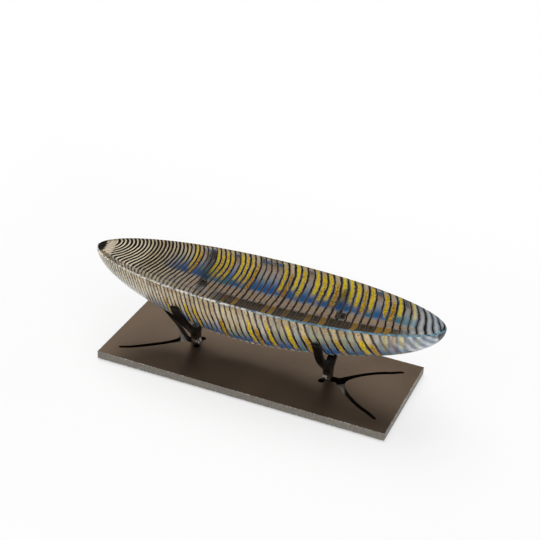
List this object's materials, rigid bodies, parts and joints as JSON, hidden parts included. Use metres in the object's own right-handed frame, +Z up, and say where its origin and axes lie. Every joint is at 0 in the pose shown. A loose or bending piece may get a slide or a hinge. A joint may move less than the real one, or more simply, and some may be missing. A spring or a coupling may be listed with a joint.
{
  "type": "glass boat sculpture",
  "caption": "Solid glass boat with a flat polished top and coloured lines in its skin, resting loosely in forks that are cut from one steel plate and bent up.",
  "frame": {"origin": "under the middle of the plate, on the surface that the feet stand on", "axes": "+X along the boat towards its higher end, +Y to the back, +Z up"},
  "size_m": [0.543, 0.18, 0.1471],
  "materials": {
    "banded_glass": "clear polished glass with black, cream, yellow and blue bands in its skin",
    "dark_steel": "satin brown-black patina with bare cut edges",
    "black_rubber": "matt",
    "black_felt": "felt"
  },
  "bodies": {
    "stand": {"cradle_stand": "dark_steel", "pad_left_front": "black_rubber", "pad_left_back": "black_rubber", "pad_right_front": "black_rubber", "pad_right_back": "black_rubber", "foot_left_front": "black_felt", "foot_left_back": "black_felt", "foot_right_front": "black_felt", "foot_right_back": "black_felt"},
    "boat": {"boat_hull": "banded_glass"}
  },
  "joints": [
    {"name": "boat_lift", "type": "slide", "parent": "stand", "child": "boat", "axis": [0, 0, 1], "range_m": [0, 0.12]}
  ]
}
